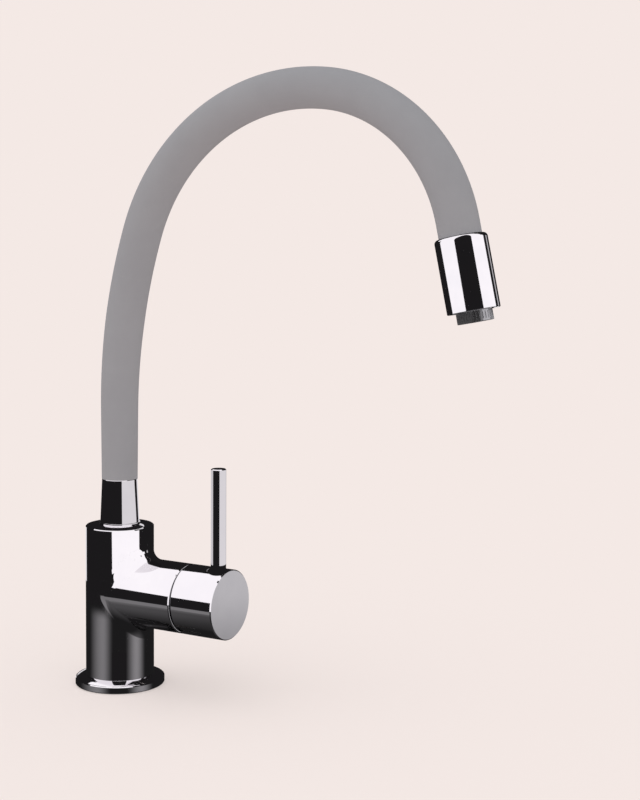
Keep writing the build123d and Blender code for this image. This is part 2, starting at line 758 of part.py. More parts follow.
def hose_span(index, name):
    """Silicone sleeve of one span, with its ball end and socket. The first one swells."""
    moves = span_moves[index]
    start, end = hose_ends[index], hose_ends[index + 1]
    first, last = index == 0, index == span_count - 1
    if last:
        moves = moves + [(sleeve_in_head, None)]
    line = draw_moves(start, moves)
    with BuildPart() as sleeve:
        with BuildSketch(end_plane(start)):
            Circle(sleeve_foot_radius if first else sleeve_radius)
        if first:
            with BuildSketch(end_plane(end)):
                Circle(sleeve_radius)
        sweep(path=line, multisection=first)
        if not last:
            with Locations(end_plane(end)):
                Sphere(sleeve_radius)
        with BuildSketch(end_plane(start)):
            Circle(sleeve_bore)
        sweep(path=line, mode=Mode.SUBTRACT)
        if not last:
            with Locations(end_plane(end)):
                Cylinder(sleeve_bore, 2 * sleeve_radius, align=FROM_BASE, mode=Mode.SUBTRACT)
        if not first:
            with Locations(end_plane(start)):
                Sphere(sleeve_radius + free_gap, mode=Mode.SUBTRACT)
    keep(sleeve, name)


def inner_tube(index, outer, inner, start_gap, end_gap, stub, name):
    """Tube inside the sleeve of one span, kept clear of the hinges and the plugs."""
    moves = between(span_moves[index], start_gap, end_gap)
    start = follow(*hose_ends[index], [(start_gap, span_moves[index][0][1])])
    if stub:
        moves = moves + [(stub, None)]
    with BuildPart() as tube:
        with BuildSketch(end_plane(start)):
            Circle(outer)
            Circle(inner, mode=Mode.SUBTRACT)
        sweep(path=draw_moves(start, moves))
    keep(tube, name)


# The inner tubes stop inside the ball end's mouth, and the next ones start past the place
# that the mouth's rim reaches when the hinge is at its limit
ball_mouth = sqrt(sleeve_radius ** 2 - sleeve_bore ** 2)
rim_reach = ball_mouth * cos(radians(bend_limit)) + sleeve_bore * sin(radians(bend_limit))
spine_stub = ball_mouth - spine_inset
spine_start = rim_reach + spine_hinge_gap
water_tube_stub = spine_stub + water_tube_stub_extra
water_tube_start = spine_start + water_tube_start_extra
spine_plug_gap = plug_length + 3 * free_gap
tube_plug_gap = 1 + free_gap
for index in range(span_count):
    number = index + 1
    first, last = index == 0, index == span_count - 1
    hose_span(index, f"hose_sleeve_{number}")
    inner_tube(
        index, spine_radius, spine_bore,
        spine_plug_gap if first else spine_start,
        spine_plug_gap if last else 0,
        0 if last else spine_stub,
        f"hose_spine_{number}",
    )
    inner_tube(
        index, water_tube_radius, water_tube_bore,
        tube_plug_gap if first else water_tube_start,
        tube_plug_gap if last else 0,
        0 if last else water_tube_stub,
        f"water_tube_{number}",
    )

# Spray head, along its own axis
head_top, head_heading = hose_ends[-1]
flow = direction(head_heading)


def head_at(length):
    """Plane square to the spray head's axis, facing along the flow."""
    return Plane(origin=head_top + flow * length, x_dir=(0, 1, 0), z_dir=flow)


# Connector: plugs into the hose and carries the head
connector_end = sleeve_in_head + connector_length
connector_radius = shell_bore - fit_gap
with BuildPart() as head_connector:
    with Locations(head_at(-plug_length)):
        Cylinder(plug_radius, plug_length + sleeve_in_head, align=FROM_BASE)
    with Locations(head_at(sleeve_in_head)):
        Cylinder(connector_radius, connector_length, align=FROM_BASE)
    with BuildSketch(head_at(-plug_length)):
        Circle(water_tube_radius + fit_gap)
        Circle(nipple_radius, mode=Mode.SUBTRACT)
    extrude(amount=plug_length - 1, mode=Mode.SUBTRACT)
    with Locations(head_at(-plug_length)):
        Cylinder(nipple_bore, plug_length + connector_end, align=FROM_BASE, mode=Mode.SUBTRACT)
keep(head_connector, "head_connector")

# Seal between the connector and the core
core_start = connector_end + head_seal_thickness
with BuildPart() as head_seal:
    with Locations(head_at(connector_end)):
        Cylinder(connector_radius - 2, head_seal_thickness, align=FROM_BASE)
        Cylinder(core_bore, head_seal_thickness, align=FROM_BASE, mode=Mode.SUBTRACT)
keep(head_seal, "head_seal")

# Core: plastic water guide between the seal and the nozzle
flange_start = head_length - head_lip - face_gap - nozzle_flange_thickness
core_length = flange_start - core_gap - core_start
with BuildPart() as head_core:
    with Locations(head_at(core_start)):
        Cylinder(connector_radius, core_length, align=FROM_BASE)
        Cylinder(core_bore, core_length, align=FROM_BASE, mode=Mode.SUBTRACT)
keep(head_core, "head_core")

# Shell: chromed tube with a rounded shoulder at the hose and a lip round the nozzle
with BuildPart() as head_shell:
    with Locations(head_at(0)):
        Cylinder(head_radius, head_length, align=FROM_BASE)
    rims = head_shell.edges().filter_by(GeomType.CIRCLE).sort_by(Axis.Z)
    fillet(rims[-1], head_step - head_shoulder_land)
    chamfer(rims[0], head_edge)
    with Locations(head_at(0)):
        Cylinder(sleeve_radius + fit_gap, sleeve_in_head, align=FROM_BASE, mode=Mode.SUBTRACT)
        Cylinder(nozzle_radius + free_gap, head_length, align=FROM_BASE, mode=Mode.SUBTRACT)
    with Locations(head_at(sleeve_in_head)):
        Cylinder(shell_bore, head_length - head_lip - sleeve_in_head, align=FROM_BASE,
                 mode=Mode.SUBTRACT)
keep(head_shell, "head_shell")

# Nozzle ring: turns in the shell's lip, with fine ridges for the fingers
nozzle_end = head_length + nozzle_stand_out
with BuildPart() as nozzle_ring:
    with Locations(head_at(flange_start)):
        Cylinder(nozzle_radius, nozzle_end - flange_start, align=FROM_BASE)
        Cylinder(nozzle_flange_radius, nozzle_flange_thickness, align=FROM_BASE)
    with BuildSketch(head_at(head_length + 1)):
        with PolarLocations(nozzle_radius, nozzle_ridges):
            Circle(nozzle_ridge_depth)
    extrude(amount=nozzle_stand_out - 2, mode=Mode.SUBTRACT)
    with Locations(head_at(flange_start)):
        Cylinder(nozzle_radius - nozzle_wall, nozzle_end - flange_start, align=FROM_BASE,
                 mode=Mode.SUBTRACT)
keep(nozzle_ring, "nozzle_ring")

# Aerator insert with its ring of jet holes
aerator_radius = nozzle_radius - nozzle_wall - fit_gap / 2
aerator_start = nozzle_end - aerator_recess - aerator_thickness
with BuildPart() as aerator_insert:
    with Locations(head_at(aerator_start)):
        Cylinder(aerator_radius, aerator_thickness, align=FROM_BASE)
    with BuildSketch(head_at(aerator_start)):
        for ring_radius, holes in ((2.4, 6), (5.2, 12)):
            with PolarLocations(ring_radius, holes):
                Circle(aerator_hole_radius)
    extrude(amount=aerator_thickness, mode=Mode.SUBTRACT)
keep(aerator_insert, "aerator_insert")

# Strainer disc on top of the aerator
with BuildPart() as aerator_strainer:
    with Locations(head_at(aerator_start - mesh_thickness)):
        Cylinder(aerator_radius, mesh_thickness, align=FROM_BASE)
    with BuildSketch(head_at(aerator_start - mesh_thickness)):
        with GridLocations(2.4, 2.4, 5, 5):
            Rectangle(1.4, 1.4)
    extrude(amount=mesh_thickness, mode=Mode.SUBTRACT)
keep(aerator_strainer, "aerator_strainer")

os.makedirs("parts", exist_ok=True)
for name, piece in pieces.items():
    export_step(piece, f"parts/{name}.step")

print(f"{len(pieces)} pieces, hose {hose_length:.1f} mm long")
for number, (point, heading) in enumerate(hose_ends):
    print(f"hose end {number}: x {point.X:.2f} z {point.Z:.2f} heading {heading:.2f}")
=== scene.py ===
# %% [markdown]
# # Kitchen mixer with a flexible spout
# The mixer comes in as a imported CAD model, and this script gives it its looks. The metal
# pieces already have their right shape, so they stay, and only the corner between barrel
# and branch gets sheets of its own. The silicone hose is rigid spans in the CAD model, so
# it is built again as a smooth tube. Sizes are in metres. The barrel stands
# on the worktop at height 0, and the lever and the bow point to +X.

# %% Load the imported model
from math import cos, pi, radians, sin

import bmesh
import bpy
from mathutils import Matrix, Vector


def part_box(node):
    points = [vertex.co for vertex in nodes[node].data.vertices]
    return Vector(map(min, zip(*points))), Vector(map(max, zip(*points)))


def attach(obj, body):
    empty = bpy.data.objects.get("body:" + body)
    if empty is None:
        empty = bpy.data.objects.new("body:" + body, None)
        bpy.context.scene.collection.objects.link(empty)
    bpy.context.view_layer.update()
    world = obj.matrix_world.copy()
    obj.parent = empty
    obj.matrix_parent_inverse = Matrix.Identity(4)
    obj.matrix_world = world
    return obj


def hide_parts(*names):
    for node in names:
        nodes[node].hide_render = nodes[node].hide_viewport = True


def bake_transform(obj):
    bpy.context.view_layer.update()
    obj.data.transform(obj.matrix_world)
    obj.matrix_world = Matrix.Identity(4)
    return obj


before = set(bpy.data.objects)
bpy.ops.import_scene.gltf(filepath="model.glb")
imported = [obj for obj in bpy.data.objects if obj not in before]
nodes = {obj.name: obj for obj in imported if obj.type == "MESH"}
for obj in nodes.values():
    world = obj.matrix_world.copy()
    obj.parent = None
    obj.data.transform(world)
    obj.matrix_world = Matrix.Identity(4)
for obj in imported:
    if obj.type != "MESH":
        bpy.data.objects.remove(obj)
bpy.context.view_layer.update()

scene = bpy.context.scene

# %% [markdown]
# ## The camera
# The photograph was taken with a long lens, from just above the height of the spray head.
# The camera could be tilted down at the mixer, but then its uprights would lean together.
# It looks almost level instead, and the lens shift takes in what lies below, as on a
# product photographer's camera.

# %% Camera
CAMERA_PLACE = (0.6020, -0.7845, 0.2907)
CAMERA_HEADING, CAMERA_DIP, CAMERA_ROLL = 2.1004, 0.0603, 0.0056
LENS_LENGTH, SENSOR_WIDTH, LENS_SHIFT = 72, 36, -0.11
NEAREST_SEEN, FURTHEST_SEEN = 0.01, 50

camera_data = bpy.data.cameras.new("studio_camera")
camera_data.lens = LENS_LENGTH
camera_data.sensor_width = SENSOR_WIDTH
camera_data.shift_y = LENS_SHIFT
camera_data.clip_start = NEAREST_SEEN
camera_data.clip_end = FURTHEST_SEEN

level = cos(CAMERA_DIP)
looking = Vector((cos(CAMERA_HEADING) * level, sin(CAMERA_HEADING) * level, -sin(CAMERA_DIP)))
roll = Matrix.Rotation(CAMERA_ROLL, 4, "Z").to_quaternion()
camera = bpy.data.objects.new("studio_camera", camera_data)
camera.location = CAMERA_PLACE
camera.rotation_mode = "QUATERNION"
camera.rotation_quaternion = looking.to_track_quat("-Z", "Y") @ roll
scene.collection.objects.link(camera)
scene.camera = camera
print("camera stands", round(camera.location.length, 3), "m from the mixer's foot")

# %% [markdown]
# ## Helpers for nodes
# A material is a small graph of nodes. It could be drawn by hand in the shader editor. These
# helpers add a node, join two sockets and do the sums that come up most, so that the cells
# below read like a list of what goes where.


# %% Add and join nodes
def add(tree, kind, **values):
    """Add a node, and set its fields or the values of its inputs."""
    node = tree.nodes.new(kind)
    for key, value in values.items():
        if hasattr(node, key):
            setattr(node, key, value)
        else:
            node.inputs[key.replace("_", " ")].default_value = value
    return node


def join(tree, source, target):
    """Feed an input from another node's socket, or set it to a plain value."""
    if isinstance(source, bpy.types.NodeSocket):
        tree.links.new(source, target)
    else:
        target.default_value = source


print("add() and join() build the node graphs")


# %% Sums and mixes
def calculate(tree, operation, *values, clamp=False):
    """A Math node. Each value is a socket or a number."""
    node = add(tree, "ShaderNodeMath", operation=operation, use_clamp=clamp)
    for value, socket in zip(values, node.inputs):
        join(tree, value, socket)
    return node.outputs[0]


def ramp_between(tree, value, low, high, to_low=0.0, to_high=1.0):
    """A smooth Map Range from low..high to to_low..to_high."""
    node = add(tree, "ShaderNodeMapRange", interpolation_type="SMOOTHSTEP")
    for source, socket in zip((value, low, high, to_low, to_high), node.inputs):
        join(tree, source, socket)
    return node.outputs["Result"]


def mix(tree, kind, share, first, second):
    """A Mix node for numbers or colours: first where share is 0, second where it is 1."""
    node = add(tree, "ShaderNodeMix", data_type=kind)
    for source, label in ((share, "Factor"), (first, "A"), (second, "B")):
        join(tree, source, node.inputs[label])
    return node.outputs["Result"]


def mix_shaders(tree, share, first, second):
    """A Mix Shader node: first where share is 0, second where it is 1."""
    node = add(tree, "ShaderNodeMixShader")
    for source, socket in zip((share, first, second), node.inputs):
        join(tree, source, socket)
    return node.outputs[0]


print("sums, ramps and mixes are one call each")


# %% Start and end a material
def empty_material(name):
    """A material whose graph is still empty."""
    made = bpy.data.materials.new(name)
    made.use_nodes = True
    made.node_tree.nodes.clear()
    return made


def own_place(tree):
    """The place on the piece, in the piece's own X, Y and Z."""
    return add(tree, "ShaderNodeTexCoord").outputs["Object"]


def show(tree, shader):
    """Join a shader to the material's output."""
    join(tree, shader, add(tree, "ShaderNodeOutputMaterial").inputs["Surface"])


print("a material starts with empty_material() and ends with show()")

# %% [markdown]
# ## The surroundings
# Everything pale that the camera sees is the same warm off-white. A painted wall would do
# it, but would also tint the light. So the world has two sides: the light that it throws is
# neutral white, while a ray from the camera, a mirror or a glass sees the off-white itself.

# %% World
PALE = (0.905, 0.815, 0.784, 1)
NEUTRAL = (1, 1, 1, 1)
WORLD_LIGHT = 0.80


def sees_backdrop(tree):
    """1 for rays from the camera, from mirrors and through glass."""
    path = add(tree, "ShaderNodeLightPath").outputs
    seen = calculate(tree, "MAXIMUM", path["Is Camera Ray"], path["Is Glossy Ray"])
    return calculate(tree, "MAXIMUM", seen, path["Is Transmission Ray"])


scene.view_settings.view_transform = "Standard"
world = bpy.data.worlds.new("studio")
scene.world = world
world.use_nodes = True
sky = world.node_tree
sky.nodes.clear()
thrown_light = add(sky, "ShaderNodeBackground", Color=NEUTRAL, Strength=WORLD_LIGHT)
seen_colour = add(sky, "ShaderNodeBackground", Color=PALE, Strength=1.0)
two_sides = mix_shaders(sky, sees_backdrop(sky), thrown_light.outputs[0], seen_colour.outputs[0])
join(sky, two_sides, add(sky, "ShaderNodeOutputWorld").inputs["Surface"])
print("world made, with", len(sky.nodes), "nodes")

# %% [markdown]
# ## The floor
# The floor is a real surface, so that it takes the mixer's shadow. Further out it fades
# into the flat off-white of the world, so no horizon shows. The lamps and the world light a
# level surface a little less than fully, so the lit part is painted that much paler.

# %% Floor material
FLOOR_FADES = (0.10, 0.50)
FLAT_SHARE_AT_FOOT = 0.45
FLOOR_LIFT = 1.047


def floor_material():
    """A lit colour at the mixer's foot, and more of the flat off-white further out."""
    made = empty_material("pale_floor")
    tree = made.node_tree
    distance = add(tree, "ShaderNodeVectorMath", operation="LENGTH")
    join(tree, own_place(tree), distance.inputs[0])
    from_foot = distance.outputs["Value"]
    flat_share = ramp_between(tree, from_foot, *FLOOR_FADES, FLAT_SHARE_AT_FOOT, 1.0)
    share = calculate(tree, "MULTIPLY", sees_backdrop(tree), flat_share)
    lifted = [min(1.0, channel * FLOOR_LIFT) for channel in PALE]
    lit = add(tree, "ShaderNodeBsdfDiffuse", Color=lifted)
    flat = add(tree, "ShaderNodeEmission", Color=PALE, Strength=1.0)
    show(tree, mix_shaders(tree, share, lit.outputs[0], flat.outputs[0]))
    return made


pale_floor = floor_material()
print("floor material has", len(pale_floor.node_tree.nodes), "nodes")

# %% Floor
FLOOR_RADIUS, ROUND_SIDES = 3.0, 96


def flat_disc(radius, height=0.0, centre=0.0):
    """A bmesh with one level round face, whose middle is at X = centre."""
    bm = bmesh.new()
    bmesh.ops.create_circle(bm, cap_ends=True, radius=radius, segments=ROUND_SIDES)
    bmesh.ops.translate(bm, verts=bm.verts[:], vec=(centre, 0, height))
    return bm


def make_object(name, bm, material):
    """Put a finished bmesh into the scene as an object at the origin."""
    mesh = bpy.data.meshes.new(name)
    bm.to_mesh(mesh)
    bm.free()
    mesh.materials.append(material)
    made = bpy.data.objects.new(name, mesh)
    scene.collection.objects.link(made)
    return made


floor = make_object("floor", flat_disc(FLOOR_RADIUS), pale_floor)
floor.visible_glossy = False
print("floor is", FLOOR_RADIUS * 2, "m wide")

# %% [markdown]
# ## Lamps
# The silicone is lit almost evenly in the photograph. A studio does that with large soft
# boxes, and here two wide sun lamps do it, because a sun needs only a direction. One shines
# from the upper left and one from the front right. Their discs are wide, so the shadow on
# the floor is soft, and mirrors don't see them.


# %% Lamps
def soft_sun(name, toward, strength, spread):
    """A sun lamp that shines in the direction toward. Its disc is spread degrees wide."""
    data = bpy.data.lights.new(name, "SUN")
    data.energy = strength
    data.angle = radians(spread)
    lamp = bpy.data.objects.new(name, data)
    lamp.rotation_mode = "QUATERNION"
    lamp.rotation_quaternion = Vector(toward).to_track_quat("-Z", "Y")
    lamp.visible_glossy = False
    scene.collection.objects.link(lamp)


soft_sun("key", toward=(0.75, 0.35, -0.9), strength=0.50, spread=70)
soft_sun("fill", toward=(-0.8, 0.5, -0.6), strength=0.22, spread=80)

# %% [markdown]
# ## Cards round the mixer
# Chrome has no colour of its own: it shows what stands round it. A photographer hangs
# black cloth round a chromed tap and sets white cards where a bright band is wanted. The
# bands could be painted on the metal, but then they would turn with it. So a ring of cards
# stands here too. Only mirror rays see the cards: the camera doesn't, and they throw no
# light or shadow on the floor or the hose.

# %% Card materials
CARD_TINT, CLOTH_TINT = (1.0, 0.97, 1.0), (1.0, 0.93, 1.0)
CLOTH_GLOW = 0.014
ONE_REFLECTION = 1.5  # Ray Depth is 1 in the first reflection and 2 in the second


def glow_material(name):
    """An empty material that Cycles doesn't use as a lamp."""
    made = empty_material(name)
    made.cycles.emission_sampling = "NONE"
    return made


def card_material(name, glow, tint=CARD_TINT, near=None):
    """An even glow. With near, only the first reflection in a piece that close shows it."""
    made = glow_material(name)
    tree = made.node_tree
    surface = add(tree, "ShaderNodeEmission", Color=(*tint, 1), Strength=glow).outputs[0]
    if near:
        path = add(tree, "ShaderNodeLightPath").outputs
        far = calculate(tree, "GREATER_THAN", path["Ray Length"], near)
        again = calculate(tree, "GREATER_THAN", path["Ray Depth"], ONE_REFLECTION)
        clear = add(tree, "ShaderNodeBsdfTransparent").outputs[0]
        surface = mix_shaders(tree, calculate(tree, "MAXIMUM", far, again), surface, clear)
    show(tree, surface)
    return made


def cloth_material(name, near=None):
    """Black cloth, which still throws back a trace of light."""
    return card_material(name, CLOTH_GLOW, CLOTH_TINT, near)


cloth = cloth_material("black_cloth")
bright = card_material("bright_card", 1.22)
even = card_material("even_card", 0.84)
grey = card_material("grey_card", 0.50)
print("card materials", [card.name for card in (cloth, bright, even, grey)])

# %% Card shapes
DEGREES_A_STEP, FEWEST_STEPS = 3, 4
ON_PLANE = 1e-6


def stage_card(name, bm, material):
    """Finish a card. Only mirrors see it."""
    card = make_object(name, bm, material)
    for ray in ("camera", "diffuse", "transmission", "volume_scatter", "shadow"):
        setattr(card, "visible_" + ray, False)


def trim(bm, point, outwards):
    """Cut away what lies on the outward side of a plane."""
    everything = bm.verts[:] + bm.edges[:] + bm.faces[:]
    bmesh.ops.bisect_plane(bm, geom=everything, dist=ON_PLANE, plane_co=point,
                           plane_no=outwards, clear_outer=True)


def curved_card(name, start, end, low, high, material, radius, centre=0.0, cut=None):
    """A card bent round an upright axis, from start to end degrees and low to high metres."""
    bm = bmesh.new()
    x, y = radius * cos(radians(start)), radius * sin(radians(start))
    foot, head = bm.verts.new((x, y, low)), bm.verts.new((x, y, high))
    edge = bm.edges.new((foot, head))
    steps = max(FEWEST_STEPS, int((end - start) / DEGREES_A_STEP))
    bmesh.ops.spin(bm, geom=[foot, head, edge], cent=(0, 0, 0), axis=(0, 0, 1),
                   angle=radians(end - start), steps=steps, use_merge=end - start == 360)
    bmesh.ops.translate(bm, verts=bm.verts[:], vec=(centre, 0, 0))
    if cut:
        trim(bm, *cut)
    stage_card(name, bm, material)


print("a curved card turns", DEGREES_A_STEP, "degrees a step")

# %% [markdown]
# ### The black room
# The cloth hangs all round and over the mixer, so that whatever isn't a card is black. The
# white roof is cut off some way behind the mixer, and its edge there sets how wide the dark
# line along the top of the branch is. Angles are degrees round the barrel from +X.

# %% Cloth and roof
ROOM_RADIUS, ROOM_FOOT, ROOM_TOP = 0.62, -0.60, 0.95
ROOF_REACH, ROOF_GAP = 0.27, 0.01
curved_card("cloth_ring", 0, 360, ROOM_FOOT, ROOM_TOP, cloth, ROOM_RADIUS)
roof = flat_disc(ROOM_RADIUS, ROOM_TOP)
trim(roof, (0, ROOF_REACH, 0), (0, 1, 0))
stage_card("roof_card", roof, bright)
stage_card("roof_cloth", flat_disc(ROOM_RADIUS, ROOM_TOP + ROOF_GAP), cloth)
print("room is", ROOM_RADIUS * 2, "m wide and", ROOM_TOP, "m high")

# %% [markdown]
# ### The cards
# Each card gives bright bands on the barrel, the branch or the spray head. The front card
# reaches from the camera's side round to the right, and the left cards go on round the
# back. A band ends where its card ends, so two of the cards are cut on a slant, as the
# bands are in the photograph.

# %% White and grey cards
FRONT_RADIUS, BEHIND_RADIUS, SIDE_RADIUS, LEFT_RADIUS = 0.56, 0.57, 0.55, 0.35
LEFT_STEP, LEFT_TOP = 0.13, 0.62
RIGHT_SLANT = ((0, 0.142, 0), (0, 1, -0.134))
LEFT_SLANT = ((0, 0, 0.076), (-0.54, 0, -1))
curved_card("front_card", -79, 40, -0.055, ROOM_TOP, bright, FRONT_RADIUS, cut=RIGHT_SLANT)
curved_card("left_card", -156, -56, LEFT_STEP, LEFT_TOP, bright, LEFT_RADIUS)
curved_card("left_card_step", -114, -56, -0.02, LEFT_STEP, bright, LEFT_RADIUS, cut=LEFT_SLANT)
curved_card("left_card_top", 154, 304, 0.44, LEFT_TOP, bright, LEFT_RADIUS)
curved_card("left_card_high", 154, 284, 0.55, ROOM_TOP, bright, FRONT_RADIUS)
curved_card("behind_card_top", 142, 172, 0.78, ROOM_TOP, bright, BEHIND_RADIUS)
curved_card("head_card", -14, 28, 0.26, 0.43, bright, SIDE_RADIUS)
curved_card("head_grey", 42, 51, 0.22, 0.36, grey, SIDE_RADIUS)
curved_card("back_card", 130, 158, -0.06, 0.05, even, SIDE_RADIUS)
print("cards stand", LEFT_RADIUS, "to", BEHIND_RADIUS, "m from the barrel's axis")

# %% [markdown]
# ### Small flags and light strips close to five pieces
# The collar, the lever's rod, the spray head, its nozzle and the flange show other bands
# than the barrel does. A photographer holds a small black flag or a strip of light close
# to such a piece. Each one here is bent round the piece's own axis. Its material asks how
# far the mirrored ray has come and how often it was mirrored, so that only the piece
# inside shows it, in its first reflection. Every other ray goes straight through.

# %% Strips round the collar
COLLAR_NEAR, COLLAR_RING_RADIUS = 0.012, 0.0150
BELOW_COLLAR, OVER_COLLAR = 0.0012, 0.0005


def hang_strips(heights, radius, centre, *strips):
    """Bend strips of cloth or light round one axis, all between the same two heights."""
    for name, start, end, material in strips:
        curved_card(name, start, end, *heights, material, radius, centre)
    print(f"{len(strips)} strips {radius * 1000:.1f} mm from the axis at X = {centre:.4f}")


collar_low, collar_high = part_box("spout_collar")
collar_cloth = cloth_material("collar_cloth", COLLAR_NEAR)
collar_glow = card_material("collar_glow", 0.84, near=COLLAR_NEAR)
collar_heights = (collar_low.z - BELOW_COLLAR, collar_high.z + OVER_COLLAR)
hang_strips(collar_heights, COLLAR_RING_RADIUS, 0.0,
            ("collar_flag", -174, -44.5, collar_cloth),
            ("collar_light", -44.5, 21, collar_glow),
            ("collar_stripe", 21, 43, collar_cloth),
            ("collar_edge", 43, 80, collar_glow))

# %% Strips round the lever's rod
ROD_NEAR, ROD_LEFT_NEAR, ROD_RING_RADIUS = 0.0058, 0.0048, 0.0075
ROD_FOOT_LOW, ROD_FOOT_HIGH, UNDER_ROD_TIP = 0.0770, 0.0818, 0.0005
rod_low, rod_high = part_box("lever_rod")
rod_x = (rod_low.x + rod_high.x) / 2
rod_cloth = cloth_material("rod_cloth", ROD_NEAR)
rod_glow = card_material("rod_glow", 0.70, near=ROD_LEFT_NEAR)
rod_bright = card_material("rod_bright", 0.84, near=ROD_NEAR)
rod_dim = card_material("rod_dim", 0.50, near=ROD_NEAR)
hang_strips((ROD_FOOT_HIGH, rod_high.z - UNDER_ROD_TIP), ROD_RING_RADIUS, rod_x,
            ("rod_flag", -120, -46, rod_cloth),
            ("rod_right", -46, 50, rod_bright),
            ("rod_edge", 50, 87, rod_dim),
            ("rod_left", -199, -120, rod_glow))
hang_strips((ROD_FOOT_LOW, ROD_FOOT_HIGH), ROD_RING_RADIUS, rod_x,
            ("rod_foot", 0, 360, rod_cloth))

# %% [markdown]
# ### The flags of the spray head and the flange
# The spray head's flag stands further off than the other strips. The head leans, so it
# would mirror the roof over the flag, and a lid on the flag keeps its dark stripe dark to
# the top. The flange's flag stands on the flange, close round the barrel.

# %% Flags of the spray head and the flange
HEAD_NEAR, HEAD_FLAG_RADIUS, HEAD_LID_RADIUS = 0.30, 0.15, 0.152
HEAD_FLAG_FROM, HEAD_FLAG_TO = -95, -23
HEAD_FLAG_LOW, HEAD_FLAG_TOP = 0.23, 0.44
FLANGE_NEAR, FLANGE_FLAG_RADIUS, FLANGE_FLAG_HEIGHTS = 0.014, 0.0213, (0.006, 0.024)
head_low, head_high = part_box("head_shell")
head_x = (head_low.x + head_high.x) / 2
head_cloth = cloth_material("head_cloth", HEAD_NEAR)
hang_strips((HEAD_FLAG_LOW, HEAD_FLAG_TOP), HEAD_FLAG_RADIUS, head_x,
            ("head_flag", HEAD_FLAG_FROM, HEAD_FLAG_TO, head_cloth))
lid = flat_disc(HEAD_LID_RADIUS, HEAD_FLAG_TOP, head_x)
for outwards in (HEAD_FLAG_FROM - 90, HEAD_FLAG_TO + 90):
    trim(lid, (head_x, 0, HEAD_FLAG_TOP), (cos(radians(outwards)), sin(radians(outwards)), 0))
stage_card("head_lid", lid, head_cloth)
hang_strips(FLANGE_FLAG_HEIGHTS, FLANGE_FLAG_RADIUS, 0.0,
            ("foot_flag", -66, -42, cloth_material("foot_cloth", FLANGE_NEAR)))

# %% Strips round the nozzle
NOZZLE_NEAR, NOZZLE_RING_RADIUS, NOZZLE_X = 0.006, 0.0125, 0.2400
NOZZLE_HEIGHTS = (0.2290, 0.2445)
nozzle_bright = card_material("nozzle_bright", 3.0, near=NOZZLE_NEAR)
nozzle_half = card_material("nozzle_half", 1.2, near=NOZZLE_NEAR)
nozzle_dim = card_material("nozzle_dim", 0.24, near=NOZZLE_NEAR)
hang_strips(NOZZLE_HEIGHTS, NOZZLE_RING_RADIUS, NOZZLE_X,
            ("nozzle_left", -192, -79, nozzle_dim),
            ("nozzle_middle", -46, -36, nozzle_half),
            ("nozzle_right", -36, 0, nozzle_bright),
            ("nozzle_edge", 0, 62, nozzle_half))

# %% [markdown]
# ### The dish under the mixer
# The lower barrel and the underside of the branch mirror what lies below. In a studio that
# is the dark sweep of the table. Here it is a dark dish with two soft glows, one on the left
# and one on the right, which run from its wall on to its base. The floor is left out of
# mirror rays, so the dish shows through it.

# %% Dish shape
DISH_RADIUS, DISH_MIDDLE = 0.55, 0.001
DISH_RIM, DISH_BASE = -0.078, -0.17
dish = bmesh.new()
rim = dish.verts.new((DISH_RADIUS, 0, DISH_RIM))
corner = dish.verts.new((DISH_RADIUS, 0, DISH_BASE))
middle = dish.verts.new((DISH_MIDDLE, 0, DISH_BASE))
outline = [rim, corner, middle, dish.edges.new((rim, corner)), dish.edges.new((corner, middle))]
bmesh.ops.spin(dish, geom=outline, cent=(0, 0, 0), axis=(0, 0, 1), angle=2 * pi,
               steps=ROUND_SIDES, use_merge=True)
print("dish has", len(dish.faces), "faces")


# %% A soft glow at one side
def glow_round(tree, centre, left, right, strength):
    """A glow at an angle round the barrel, which fades out over left and right degrees."""
    turned = add(tree, "ShaderNodeVectorRotate", rotation_type="Z_AXIS", Angle=-radians(centre))
    join(tree, own_place(tree), turned.inputs["Vector"])
    parts = add(tree, "ShaderNodeSeparateXYZ")
    join(tree, turned.outputs[0], parts.inputs[0])
    angle = calculate(tree, "ARCTAN2", parts.outputs["Y"], parts.outputs["X"])
    rise = ramp_between(tree, angle, -radians(left), 0.0)
    fall = ramp_between(tree, angle, 0.0, radians(right), 1.0, 0.0)
    return calculate(tree, "MULTIPLY", calculate(tree, "MULTIPLY", rise, fall), strength)


print("each glow_round() is one soft glow of the dish")

# %% Dish material
RIM_FADES, WALL_STARTS = (-0.092, -0.079), (0.530, 0.548)
BASE_BRIGHTENS, DIM_MIDDLE = (0.05, 0.35), 0.15
CORNER_BRIGHTENS, BRIGHT_CORNER = (0.36, 0.54), 2.0


